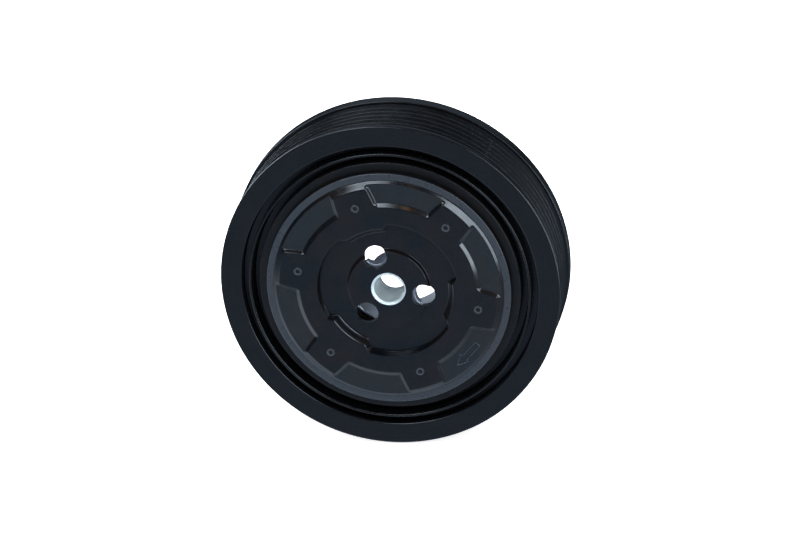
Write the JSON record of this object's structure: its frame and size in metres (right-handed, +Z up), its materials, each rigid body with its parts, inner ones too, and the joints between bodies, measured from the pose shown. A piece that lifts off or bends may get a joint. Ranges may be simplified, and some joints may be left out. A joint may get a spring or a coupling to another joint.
{
  "type": "electromagnetic clutch",
  "caption": "Belt-driven electromagnetic clutch: ribbed pulley on a double-row bearing, field coil behind it, and a sprung armature on a shaft hub.",
  "frame": {"origin": "centre of the bounding box: on the shaft axis, halfway between the front plate's face and the mounting plate's back", "axes": "+Y runs rearward along the shaft axis, from the front plate to the coil's mounting plate; +Z up, with the connector at the bottom"},
  "size_m": [0.1206, 0.0382, 0.1206],
  "materials": {
    "black_coat": "gloss electrophoretic black coat",
    "satin_black": "satin black phosphate and coat",
    "bright_steel": "ground or turned bare steel",
    "spring_steel": "dull grey steel",
    "lining": "matt moulded friction material",
    "seal_rubber": "matt nitrile rubber",
    "cage_nylon": "natural nylon",
    "copper": null,
    "resin": "cast potting resin",
    "zinc": "zinc-plated steel",
    "plastic": "moulded black plastic"
  },
  "bodies": {
    "coil_side": {"bearing_inner_race": "bright_steel", "coil_case": "zinc", "coil_bobbin": "plastic", "coil_winding": "copper", "coil_resin": "resin", "coil_mount_plate": "zinc", "connector_body": "plastic", "terminal_blade_1": "copper", "terminal_blade_2": "copper"},
    "pulley": {"belt_ring": "satin_black", "rotor": "satin_black", "friction_lining": "lining", "bearing_outer_race": "bright_steel", "bearing_seal_front": "seal_rubber", "bearing_seal_rear": "seal_rubber", "bearing_snap_ring": "spring_steel"},
    "cage": {"cage_front": "cage_nylon", "cage_rear": "cage_nylon", "ball_front_01": "bright_steel", "ball_front_02": "bright_steel", "ball_front_03": "bright_steel", "ball_front_04": "bright_steel", "ball_front_05": "bright_steel", "ball_front_06": "bright_steel", "ball_front_07": "bright_steel", "ball_front_08": "bright_steel", "ball_front_09": "bright_steel", "ball_front_10": "bright_steel", "ball_front_11": "bright_steel", "ball_rear_01": "bright_steel", "ball_rear_02": "bright_steel", "ball_rear_03": "bright_steel", "ball_rear_04": "bright_steel", "ball_rear_05": "bright_steel", "ball_rear_06": "bright_steel", "ball_rear_07": "bright_steel", "ball_rear_08": "bright_steel", "ball_rear_09": "bright_steel", "ball_rear_10": "bright_steel", "ball_rear_11": "bright_steel"},
    "hub": {"hub_sleeve": "bright_steel", "hub_flange": "black_coat", "front_plate": "black_coat", "plate_rivet_1": "black_coat", "plate_rivet_2": "black_coat", "plate_rivet_3": "black_coat", "plate_rivet_4": "black_coat", "plate_rivet_5": "black_coat", "plate_rivet_6": "black_coat", "leaf_spring_1": "spring_steel", "leaf_spring_2": "spring_steel", "leaf_spring_3": "spring_steel"},
    "armature": {"armature_plate": "spring_steel", "armature_rivet_1": "zinc", "armature_rivet_2": "zinc", "armature_rivet_3": "zinc"}
  },
  "joints": [
    {"name": "pulley_spin", "type": "hinge", "parent": "coil_side", "child": "pulley", "pos_m": [0, 0, 0], "axis": [0, 1, 0], "continuous": true},
    {"name": "cage_spin", "type": "hinge", "parent": "coil_side", "child": "cage", "pos_m": [0, 0, 0], "axis": [0, 1, 0], "continuous": true},
    {"name": "hub_spin", "type": "hinge", "parent": "coil_side", "child": "hub", "pos_m": [0, 0, 0], "axis": [0, 1, 0], "continuous": true},
    {"name": "armature_slide", "type": "slide", "parent": "hub", "child": "armature", "axis": [0, 1, 0], "range_m": [0, 0.00045], "stiffness_N_per_m": 30000, "springref_m": -0.0005}
  ],
  "couplings": [
    {"joint": "cage_spin", "follows": "pulley_spin", "ratio": 0.5632}
  ]
}
